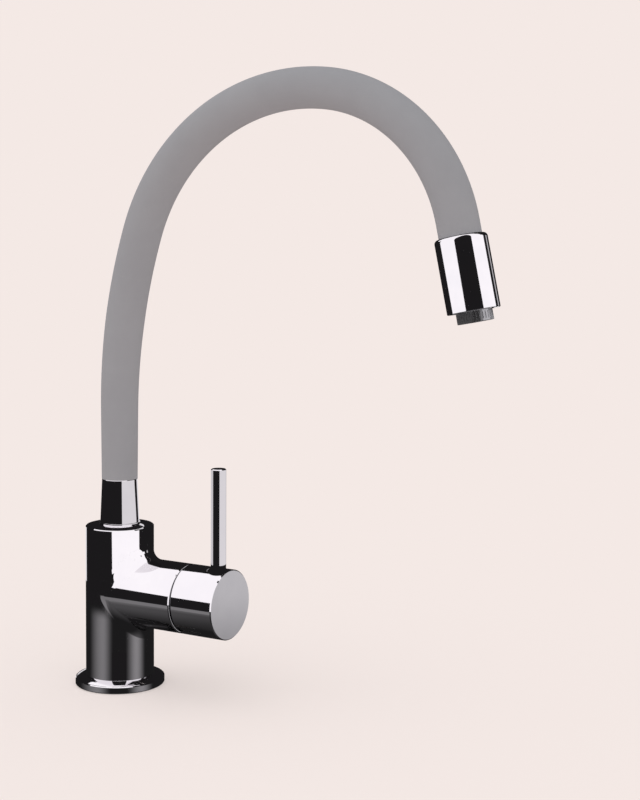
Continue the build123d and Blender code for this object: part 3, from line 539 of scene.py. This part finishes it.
def dish_material():
    """Nearly black, with glows on the wall and dimmer ones on the base."""
    made = glow_material("dish")
    tree = made.node_tree
    parts = add(tree, "ShaderNodeSeparateXYZ")
    join(tree, own_place(tree), parts.inputs[0])
    x_squared = calculate(tree, "POWER", parts.outputs["X"], 2.0)
    y_squared = calculate(tree, "POWER", parts.outputs["Y"], 2.0)
    reach = calculate(tree, "SQRT", calculate(tree, "ADD", x_squared, y_squared))

    wall_left = glow_round(tree, centre=-113, left=64, right=38, strength=0.215)
    wall_right = glow_round(tree, centre=3, left=40, right=38, strength=0.265)
    below_rim = ramp_between(tree, parts.outputs["Z"], *RIM_FADES, 1.0, 0.0)
    wall = calculate(tree, "MULTIPLY", calculate(tree, "ADD", wall_left, wall_right), below_rim)

    base_left = glow_round(tree, centre=-132, left=56, right=46, strength=0.07)
    base_right = glow_round(tree, centre=3, left=40, right=38, strength=0.06)
    outwards = ramp_between(tree, reach, *BASE_BRIGHTENS, DIM_MIDDLE, 1.0)
    by_wall = ramp_between(tree, reach, *CORNER_BRIGHTENS, 1.0, BRIGHT_CORNER)
    on_base = calculate(tree, "MULTIPLY", outwards, by_wall)
    base = calculate(tree, "MULTIPLY", calculate(tree, "ADD", base_left, base_right), on_base)

    glows = mix(tree, "FLOAT", ramp_between(tree, reach, *WALL_STARTS), base, wall)
    light = add(tree, "ShaderNodeEmission", Color=(*CARD_TINT, 1))
    join(tree, calculate(tree, "ADD", glows, CLOTH_GLOW), light.inputs["Strength"])
    show(tree, light.outputs[0])
    return made


dish_glow = dish_material()
stage_card("dish", dish, dish_glow)
print("dish material has", len(dish_glow.node_tree.nodes), "nodes")

# %% [markdown]
# ### The card in front of the lever cap
# The flat end of the cap mirrors only a small patch of what stands round it, and it is an
# even pale grey in the photograph, a little darker at its foot. So one narrow card stands
# just where the cap looks, and glows more towards its top.

# %% Cap card
CAP_TINT = (0.99, 0.97, 1.0)
CAP_CARD_LOW, CAP_CARD_HIGH, CAP_CARD_RADIUS = -0.105, -0.022, 0.545
CAP_GLOW_FULL_AT, CAP_GLOWS = -0.045, (0.38, 0.595)


def cap_material():
    """A pale grey that gets dimmer towards the card's foot."""
    made = glow_material("cap_card")
    tree = made.node_tree
    parts = add(tree, "ShaderNodeSeparateXYZ")
    join(tree, own_place(tree), parts.inputs[0])
    glow = ramp_between(tree, parts.outputs["Z"], CAP_CARD_LOW, CAP_GLOW_FULL_AT, *CAP_GLOWS)
    light = add(tree, "ShaderNodeEmission", Color=(*CAP_TINT, 1))
    join(tree, glow, light.inputs["Strength"])
    show(tree, light.outputs[0])
    return made


curved_card("cap_card", 46.3, 53.6, CAP_CARD_LOW, CAP_CARD_HIGH, cap_material(), CAP_CARD_RADIUS)
print("cap card is", round((CAP_CARD_HIGH - CAP_CARD_LOW) * 1000), "mm high")

# %% [markdown]
# ## Effects that several finishes share
# Real surfaces are never quite even. Three small node groups bring that in: slow changes of
# shine, wear where an edge is rubbed, and fine grain. Each is built once, and each material
# that uses it sets its own numbers.


# %% Start a node group
def new_group(name, output, **inputs):
    """A shader node group with number inputs and one number output."""
    group = bpy.data.node_groups.new(name, "ShaderNodeTree")
    sockets = group.interface
    for label, value in inputs.items():
        socket = sockets.new_socket(label.replace("_", " "), in_out="INPUT",
                                    socket_type="NodeSocketFloat")
        socket.default_value = value
    sockets.new_socket(output, in_out="OUTPUT", socket_type="NodeSocketFloat")
    given = group.nodes.new("NodeGroupInput").outputs
    result = group.nodes.new("NodeGroupOutput").inputs[output]
    return group, given, result


print("groups so far:", len(bpy.data.node_groups))

# %% [markdown]
# ### Haze
# Polish and wiping leave slow, cloudy changes over a surface. An image could hold them, but
# noise in the piece's own space needs no unwrapping and has no seam. The group puts out a
# value between Low and High.

# %% Haze
NOISE_SPREAD = (0.3, 0.7)
haze, given, result = new_group("haze", "Value", Scale=40.0, Low=0.05, High=0.09)
clouds = add(haze, "ShaderNodeTexNoise", Detail=4.0, Roughness=0.6)
join(haze, own_place(haze), clouds.inputs["Vector"])
join(haze, given["Scale"], clouds.inputs["Scale"])
cloudy = ramp_between(haze, clouds.outputs["Fac"], *NOISE_SPREAD, given["Low"], given["High"])
join(haze, cloudy, result)
print("haze has", len(haze.nodes), "nodes")

# %% [markdown]
# ### Edge wear
# Hands and cloths rub the edges first. The Bevel node gives the normal that a slightly
# rounded edge would have. Where it differs from the true normal there is an edge, and noise
# breaks the wear up into patches.

# %% Edge wear
STILL_FLAT, SHARP_EDGE = 0.995, 0.90
UNWORN_BELOW, WORN_ABOVE = 0.40, 0.60
edge_wear, given, result = new_group("edge_wear", "Mask", Width=0.0006, Break_Up=900.0)
rounded = add(edge_wear, "ShaderNodeBevel", samples=4)
join(edge_wear, given["Width"], rounded.inputs["Radius"])
true_normal = add(edge_wear, "ShaderNodeNewGeometry").outputs["Normal"]
alike = add(edge_wear, "ShaderNodeVectorMath", operation="DOT_PRODUCT")
join(edge_wear, rounded.outputs[0], alike.inputs[0])
join(edge_wear, true_normal, alike.inputs[1])
on_edge = ramp_between(edge_wear, alike.outputs["Value"], STILL_FLAT, SHARP_EDGE)
rubs = add(edge_wear, "ShaderNodeTexNoise", Detail=3.0)
join(edge_wear, own_place(edge_wear), rubs.inputs["Vector"])
join(edge_wear, given["Break Up"], rubs.inputs["Scale"])
in_patch = ramp_between(edge_wear, rubs.outputs["Fac"], UNWORN_BELOW, WORN_ABOVE)
join(edge_wear, calculate(edge_wear, "MULTIPLY", on_edge, in_patch), result)
print("edge wear has", len(edge_wear.nodes), "nodes")

# %% [markdown]
# ### Grain
# A cast, moulded or sawn skin has a fine texture with coarser lumps under it. Geometry that
# fine would be far too heavy, so two sizes of noise give the height for a Bump node.

# %% Grain
COARSE_SCALE = 0.12
grain, given, result = new_group("grain", "Height", Scale=2500.0, Coarse_Share=0.3)
fine = add(grain, "ShaderNodeTexNoise", Detail=2.0, Roughness=0.7)
coarse = add(grain, "ShaderNodeTexNoise", Detail=2.0)
place = own_place(grain)
join(grain, place, fine.inputs["Vector"])
join(grain, place, coarse.inputs["Vector"])
join(grain, given["Scale"], fine.inputs["Scale"])
join(grain, calculate(grain, "MULTIPLY", given["Scale"], COARSE_SCALE), coarse.inputs["Scale"])
lumps = mix(grain, "FLOAT", given["Coarse Share"], fine.outputs["Fac"], coarse.outputs["Fac"])
join(grain, lumps, result)
print("groups", [group.name for group in bpy.data.node_groups])

# %% [markdown]
# ## Finishes
# Each finish is a Principled shader whose colour, roughness and bump come from those
# groups. It has a light and a dark colour that drift into each other in patches, a colour
# for its worn edges, a range of roughness, and a grain with its size and height. Whether it
# is metal and how glossy it is are plain numbers on the shader.

# %% Finish helper
WORN_SHARE, WORN_ROUGHNESS = 0.5, 0.08
PLAIN_GLOSS, RUBBER_GLOSS = 0.5, 0.25
finishes = {}


def finish(name, light, dark, worn, metallic, rough, patch, grain_size, grain_height,
           gloss=PLAIN_GLOSS):
    """Make one of the mixer's finishes, and keep it under its name."""
    made = bpy.data.materials.new(name)
    made.use_nodes = True
    tree = made.node_tree
    surface = tree.nodes["Principled BSDF"].inputs
    surface["Metallic"].default_value = metallic
    surface["Specular IOR Level"].default_value = gloss

    def placed(group, **values):
        return add(tree, "ShaderNodeGroup", node_tree=group, **values).outputs[0]

    colour = mix(tree, "RGBA", placed(haze, Scale=1 / patch, Low=0.0, High=1.0), (*light, 1),
                 (*dark, 1))
    mask = placed(edge_wear)
    rubbed = mix(tree, "RGBA", calculate(tree, "MULTIPLY", mask, WORN_SHARE), colour, (*worn, 1))
    join(tree, rubbed, surface["Base Color"])
    shine = placed(haze, Scale=2 / patch, Low=rough[0], High=rough[1])
    scuffed = calculate(tree, "MULTIPLY", mask, WORN_ROUGHNESS)
    join(tree, calculate(tree, "ADD", shine, scuffed, clamp=True), surface["Roughness"])
    bump = add(tree, "ShaderNodeBump", Strength=1.0, Distance=grain_height)
    join(tree, placed(grain, Scale=1 / grain_size), bump.inputs["Height"])
    join(tree, bump.outputs[0], surface["Normal"])
    finishes[name] = made
    return made


print("worn edges are", WORN_ROUGHNESS, "rougher")

# %% [markdown]
# ### What shows: chrome and silicone
# Chrome plating is almost a perfect mirror, with no grain to speak of. The spray head's
# plating is on plastic, so it is a little less even. The silicone is a dull mid grey with
# hardly any gloss, and a fine moulded grain.

# %% Chrome and silicone
finish("chrome", light=(0.80, 0.785, 0.80), dark=(0.77, 0.755, 0.775), worn=(0.86, 0.85, 0.86),
       metallic=1.0, rough=(0.015, 0.045), patch=0.02, grain_size=0.004, grain_height=0.0000010)
finish("head_chrome", light=(0.80, 0.785, 0.80), dark=(0.76, 0.75, 0.77),
       worn=(0.86, 0.85, 0.86), metallic=1.0, rough=(0.02, 0.06), patch=0.01,
       grain_size=0.003, grain_height=0.0000015)
finish("silicone_grey", light=(0.334, 0.332, 0.350), dark=(0.320, 0.318, 0.336),
       worn=(0.38, 0.375, 0.38), metallic=0.0, rough=(0.68, 0.80), patch=0.03,
       grain_size=0.0005, grain_height=0.00002, gloss=RUBBER_GLOSS)
print(len(finishes), "finishes that show")

# %% [markdown]
# ### Inside: seals, brass and steel
# These pieces show when the mixer is taken apart or seen from below: black rubber seals,
# turned brass, zinc-plated fixing parts and the steel spiral that stiffens the hose.

# %% Rubber, brass and steel
finish("black_rubber", light=(0.022, 0.022, 0.023), dark=(0.035, 0.034, 0.034),
       worn=(0.06, 0.06, 0.06), metallic=0.0, rough=(0.55, 0.75), patch=0.006,
       grain_size=0.0004, grain_height=0.00002, gloss=RUBBER_GLOSS)
finish("brass", light=(0.78, 0.57, 0.27), dark=(0.60, 0.41, 0.17), worn=(0.88, 0.70, 0.40),
       metallic=1.0, rough=(0.16, 0.34), patch=0.005, grain_size=0.0004, grain_height=0.00001)
finish("stem_brass", light=(0.80, 0.60, 0.30), dark=(0.64, 0.45, 0.20), worn=(0.90, 0.73, 0.44),
       metallic=1.0, rough=(0.14, 0.30), patch=0.004, grain_size=0.0003, grain_height=0.00001)
finish("zinc_steel", light=(0.60, 0.61, 0.62), dark=(0.44, 0.45, 0.43), worn=(0.72, 0.72, 0.72),
       metallic=1.0, rough=(0.28, 0.48), patch=0.004, grain_size=0.0005, grain_height=0.00002)
finish("steel_spiral", light=(0.56, 0.56, 0.57), dark=(0.42, 0.42, 0.44),
       worn=(0.70, 0.70, 0.71), metallic=1.0, rough=(0.22, 0.40), patch=0.005,
       grain_size=0.0004, grain_height=0.00001)
print(len(finishes), "finishes with the metals")

# %% [markdown]
# ### Inside: ceramic and plastics
# The cartridge has polished ceramic discs in a white housing, and dark plastic parts that
# carry its stem. The nozzle's ring is dark plastic too, but mostly metallic here, because
# it mirrors in the photograph. The water tube is pale, and the strainer is steel.

# %% Ceramic and plastics
finish("ceramic", light=(0.86, 0.84, 0.79), dark=(0.80, 0.77, 0.71), worn=(0.90, 0.89, 0.86),
       metallic=0.0, rough=(0.12, 0.25), patch=0.005, grain_size=0.0003, grain_height=0.000004)
finish("white_plastic", light=(0.80, 0.80, 0.78), dark=(0.74, 0.73, 0.70),
       worn=(0.86, 0.86, 0.85), metallic=0.0, rough=(0.35, 0.50), patch=0.006,
       grain_size=0.0004, grain_height=0.00001)
finish("stem_plastic", light=(0.10, 0.11, 0.13), dark=(0.07, 0.08, 0.09),
       worn=(0.18, 0.19, 0.21), metallic=0.0, rough=(0.35, 0.50), patch=0.005,
       grain_size=0.0004, grain_height=0.00001)
finish("light_plastic", light=(0.52, 0.53, 0.55), dark=(0.45, 0.46, 0.48),
       worn=(0.60, 0.61, 0.62), metallic=0.0, rough=(0.35, 0.50), patch=0.004,
       grain_size=0.0003, grain_height=0.00001)
finish("dark_plastic", light=(0.16, 0.16, 0.165), dark=(0.14, 0.14, 0.145),
       worn=(0.22, 0.22, 0.23), metallic=0.8, rough=(0.16, 0.24), patch=0.004,
       grain_size=0.0003, grain_height=0.000002)
finish("water_tube", light=(0.62, 0.64, 0.62), dark=(0.52, 0.54, 0.52), worn=(0.70, 0.71, 0.70),
       metallic=0.0, rough=(0.35, 0.55), patch=0.006, grain_size=0.0005, grain_height=0.00001)
finish("strainer", light=(0.45, 0.46, 0.47), dark=(0.33, 0.34, 0.35), worn=(0.60, 0.60, 0.60),
       metallic=1.0, rough=(0.30, 0.45), patch=0.002, grain_size=0.0002, grain_height=0.00002)
print(len(finishes), "finishes in all")

# %% [markdown]
# ### Each piece gets its finish
# A CAD piece comes with a plain material that has its slot's name, and the finish of the
# same name takes its place. The chromed ring behind the lever cap is seen only in a deep
# narrow seam, where it has nothing bright to mirror, so its chrome is painted dark: painted
# shade for the seam.

# %% Finishes on the CAD pieces
for piece in nodes.values():
    for slot in piece.material_slots:
        slot.material = finishes[slot.material.name.split(".")[0]]
# Painted shade: the trim ring's chrome colours are nearly black, standing in for the shade in
# the seam
seam_shade = finish("seam_shade", light=(0.075, 0.073, 0.078), dark=(0.055, 0.053, 0.058),
                    worn=(0.20, 0.20, 0.21), metallic=1.0, rough=(0.12, 0.22), patch=0.01,
                    grain_size=0.0004, grain_height=0.000004)
nodes["trim_dome"].material_slots[0].material = seam_shade
print(len(nodes), "pieces have", len(finishes), "finishes")

# %% [markdown]
# ### Pieces that don't show in the chrome
# The photograph is retouched: the barrel doesn't mirror the lever's rod or the hose, and the
# flange doesn't break up the barrel's bands. The cards couldn't hide them, so these pieces
# are left out of mirror rays. They still show to the camera.

# %% Out of the mirrors
OUT_OF_MIRRORS = ("hose_spine", "water_tube", "head_c", "spout_", "shank_", "lever_", "stem_",
                  "cartridge_", "trim_", "base_flange")
unmirrored = [name for name in nodes if name.startswith(OUT_OF_MIRRORS)]
for name in unmirrored:
    nodes[name].visible_glossy = False
print(len(unmirrored), "pieces are out of the mirrors")

# %% [markdown]
# ## The corners between barrel and branch
# On a cast and polished body the branch doesn't meet the barrel in a sharp line: the two
# flow into each other, and that bends the bright bands round the corner. The two round
# surfaces are equally wide, so any upright slice along the branch cuts both in straight
# lines that meet at a right angle. A quarter circle in each slice touches both lines, and
# so the swept sheet touches both round surfaces smoothly. The circle is smallest at the
# front, where barrel and branch are already level, and largest in the saddle. A short
# straight tail at each end runs on along the metal and sinks a hair's breadth into it,
# which hides the sheet's rim.

# %% The corner's outline
BODY_RADIUS, LEVER_HEIGHT = 0.021, 0.059
SADDLE_RADIUS, LEAST_RADIUS, CORNER_SWELL = 0.0080, 0.00001, 0.6
CORNER_TAIL, TAIL_SINK = 0.0030, 0.00001
ARC_STEPS = 24


def corner_line(turn, above):
    """The corner's outline in one upright slice, from the barrel round to the branch."""
    across, front = BODY_RADIUS * sin(turn), -BODY_RADIUS * cos(turn)
    size = SADDLE_RADIUS * max(sin(turn), 0.0) ** CORNER_SWELL + LEAST_RADIUS
    middle = across + size
    sunk, tail_end = across - TAIL_SINK, middle + CORNER_TAIL
    outline = [(sunk, tail_end)]
    for k in range(ARC_STEPS + 1):
        bend = k * pi / 2 / ARC_STEPS
        outline.append((middle - size * cos(bend), middle - size * sin(bend)))
    outline.append((tail_end, sunk))
    side = 1 if above else -1
    return [Vector((x, front, LEVER_HEIGHT + side * rise)) for x, rise in outline]


saddle = corner_line(pi / 2, above=True)
print("in the saddle the outline has", len(saddle), "points")

# %% Corner sheets
SLICES, CORNER_WALL = 144, 0.0012
FRONT_PART = -0.012


def shade_round(bm, sharp_from):
    """Shade the faces round, and keep the edges that turn sharp_from degrees or more."""
    for face in bm.faces:
        face.smooth = True
    for edge in bm.edges:
        edge.smooth = edge.calc_face_angle(0.0) < radians(sharp_from)


def corner_sheet(name, above):
    """A grid whose rows are laid on the outlines, one slice after another."""
    bm = bmesh.new()
    columns = ARC_STEPS + 2
    grid = bmesh.ops.create_grid(bm, x_segments=SLICES, y_segments=columns, size=0.5)
    for vert in grid["verts"]:
        row = round((vert.co.x + 0.5) * SLICES)
        column = round((vert.co.y + 0.5) * columns)
        vert.co = corner_line(pi * row / SLICES, above)[column]
    bmesh.ops.recalc_face_normals(bm, faces=bm.faces[:])
    in_front = [face for face in bm.faces if face.calc_center_median().y < FRONT_PART]
    if sum(face.normal.y for face in in_front) > 0:
        bmesh.ops.reverse_faces(bm, faces=bm.faces[:])
    bmesh.ops.solidify(bm, geom=bm.faces[:], thickness=CORNER_WALL)
    shade_round(bm, sharp_from=50)
    sheet = make_object(name, bm, finishes["chrome"])
    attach(sheet, "root")
    print(name, len(sheet.data.polygons), "faces")


corner_sheet("upper_corner", above=True)
corner_sheet("lower_corner", above=False)

# %% [markdown]
# ## The silicone hose
# The real spout is one silicone sleeve over a steel spiral, which lets it hold any bend.
# The CAD model has to hinge, so it cuts the sleeve into six rigid spans with a ball at each
# of five joints. The sleeve's line rises straight out of the collar, goes round three arcs
# and ends straight in the spray head. A hinge is in the middle of each arc and between two
# arcs.

# %% The line of the bow
STRAIGHT, TAIL = 0.043, 0.008
ARCS = ((0.345, 18.5), (0.121, 78.5), (0.095, 71.0))
HOSE_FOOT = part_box("hose_sleeve_1")[0].z
bow = [(STRAIGHT, 0.0)] + [(radius * radians(turn), 1 / radius) for radius, turn in ARCS]
bow.append((TAIL, 0.0))
HOSE_LENGTH = sum(length for length, _ in bow)

hinges = []
reached = STRAIGHT
for arc_length, _ in bow[1:-1]:
    hinges += [reached + arc_length / 2, reached + arc_length]
    reached += arc_length
hinges.pop()
print("hose", round(HOSE_LENGTH * 1000), "mm, hinges at", [round(h * 1000, 1) for h in hinges])


# %% A place on the bow
def along_bow(s):
    """Place on the bow's centreline, with +Z along it and +Y across the bow, at s metres."""
    place = Matrix.Translation((0, 0, HOSE_FOOT))
    for length, bend in bow:
        step = max(0.0, min(s, length))
        if bend:
            turn = Matrix.Translation((1 / bend, 0, 0)) @ Matrix.Rotation(step * bend, 4, "Y")
            place = place @ turn @ Matrix.Translation((-1 / bend, 0, 0))
        else:
            place = place @ Matrix.Translation((0, 0, step))
        s -= length
    return place @ Matrix.Translation((0, 0, max(0.0, s)))


print("bow ends at", [round(v * 1000, 2) for v in along_bow(HOSE_LENGTH).translation])

# %% [markdown]
# ### One length of the sleeve
# A curve with a round bevel would do, but it gives no say over the rings. So a ring of
# points is extruded step by step along the line, and each new ring is turned to face along
# it. Then the shell gets its wall inwards. The sleeve is a little slimmer where it leaves
# the collar, and swells up to the first hinge.

# %% Sweep one length of the sleeve
FOOT_RADIUS, FULL_RADIUS, SLEEVE_WALL = 0.0110, 0.0119, 0.0039
RING_STEP, RING_POINTS = 0.002, 96


def ring_place(s):
    """The matrix that puts a ring of radius 1 round the bow, with the sleeve's radius."""
    swell = max(0.0, min(1.0, s / hinges[0]))
    size = FOOT_RADIUS + (FULL_RADIUS - FOOT_RADIUS) * swell
    return along_bow(s) @ Matrix.Diagonal((size, size, 1, 1))


def sweep(name, start, end):
    """A closed shell along the bow, from start to end metres."""
    bm = bmesh.new()
    ring = bmesh.ops.create_circle(bm, cap_ends=False, radius=1.0, segments=RING_POINTS)
    before = ring_place(start)
    bmesh.ops.transform(bm, matrix=before, verts=ring["verts"])
    edges = list(bm.edges)
    steps = round((end - start) / RING_STEP)
    for k in range(1, steps + 1):
        now = ring_place(start + (end - start) * k / steps)
        grown = bmesh.ops.extrude_edge_only(bm, edges=edges)["geom"]
        verts = [part for part in grown if isinstance(part, bmesh.types.BMVert)]
        edges = [part for part in grown if isinstance(part, bmesh.types.BMEdge)]
        bmesh.ops.transform(bm, matrix=now @ before.inverted(), verts=verts)
        before = now
    bmesh.ops.recalc_face_normals(bm, faces=bm.faces[:])
    first = bm.faces[:][0]
    outwards = first.calc_center_median() - along_bow(start).translation
    if first.normal.dot(outwards) < 0:
        bmesh.ops.reverse_faces(bm, faces=bm.faces[:])
    bmesh.ops.solidify(bm, geom=bm.faces[:], thickness=SLEEVE_WALL)
    shade_round(bm, sharp_from=40)
    return make_object(name, bm, finishes["silicone_grey"])


print("rings are", RING_STEP * 1000, "mm apart, of", RING_POINTS, "points")

# %% [markdown]
# ### Five lengths of the sleeve
# The sleeve could be one mesh, but a piece can blend only between two bodies. So it is cut
# in the middle of each span, where nothing bends, and each length is listed with the two
# bodies that its hinge joins. The last length stands for two spans and reaches a little way
# into the spray head. Mirrors don't see the hose, as in the retouched photograph.

# %% Cut the hose into five lengths
INTO_HEAD, PULL_IN = 0.004, 0.004
LENGTHS = (
    ("hose_a", "spout_foot", "hose_2", ("hose_sleeve_1",)),
    ("hose_b", "hose_2", "hose_3", ("hose_sleeve_2",)),
    ("hose_c", "hose_3", "hose_4", ("hose_sleeve_3",)),
    ("hose_d", "hose_4", "hose_5", ("hose_sleeve_4",)),
    ("hose_e", "hose_5", "spray_head", ("hose_sleeve_5", "hose_sleeve_6")),
)
middles = [(a + b) / 2 for a, b in zip(hinges, hinges[1:])]
cuts = [0.0] + middles + [HOSE_LENGTH + INTO_HEAD]
for (name, body_before, body_after, spans), start, end in zip(LENGTHS, cuts, cuts[1:]):
    length = sweep(name, start, end)
    length.visible_glossy = False
    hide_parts(*spans)
    from_point, to_point = along_bow(start).translation, along_bow(end).translation
    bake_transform(length)
    print(name, round((end - start) * 1000, 1), "mm,", len(length.data.polygons), "faces")
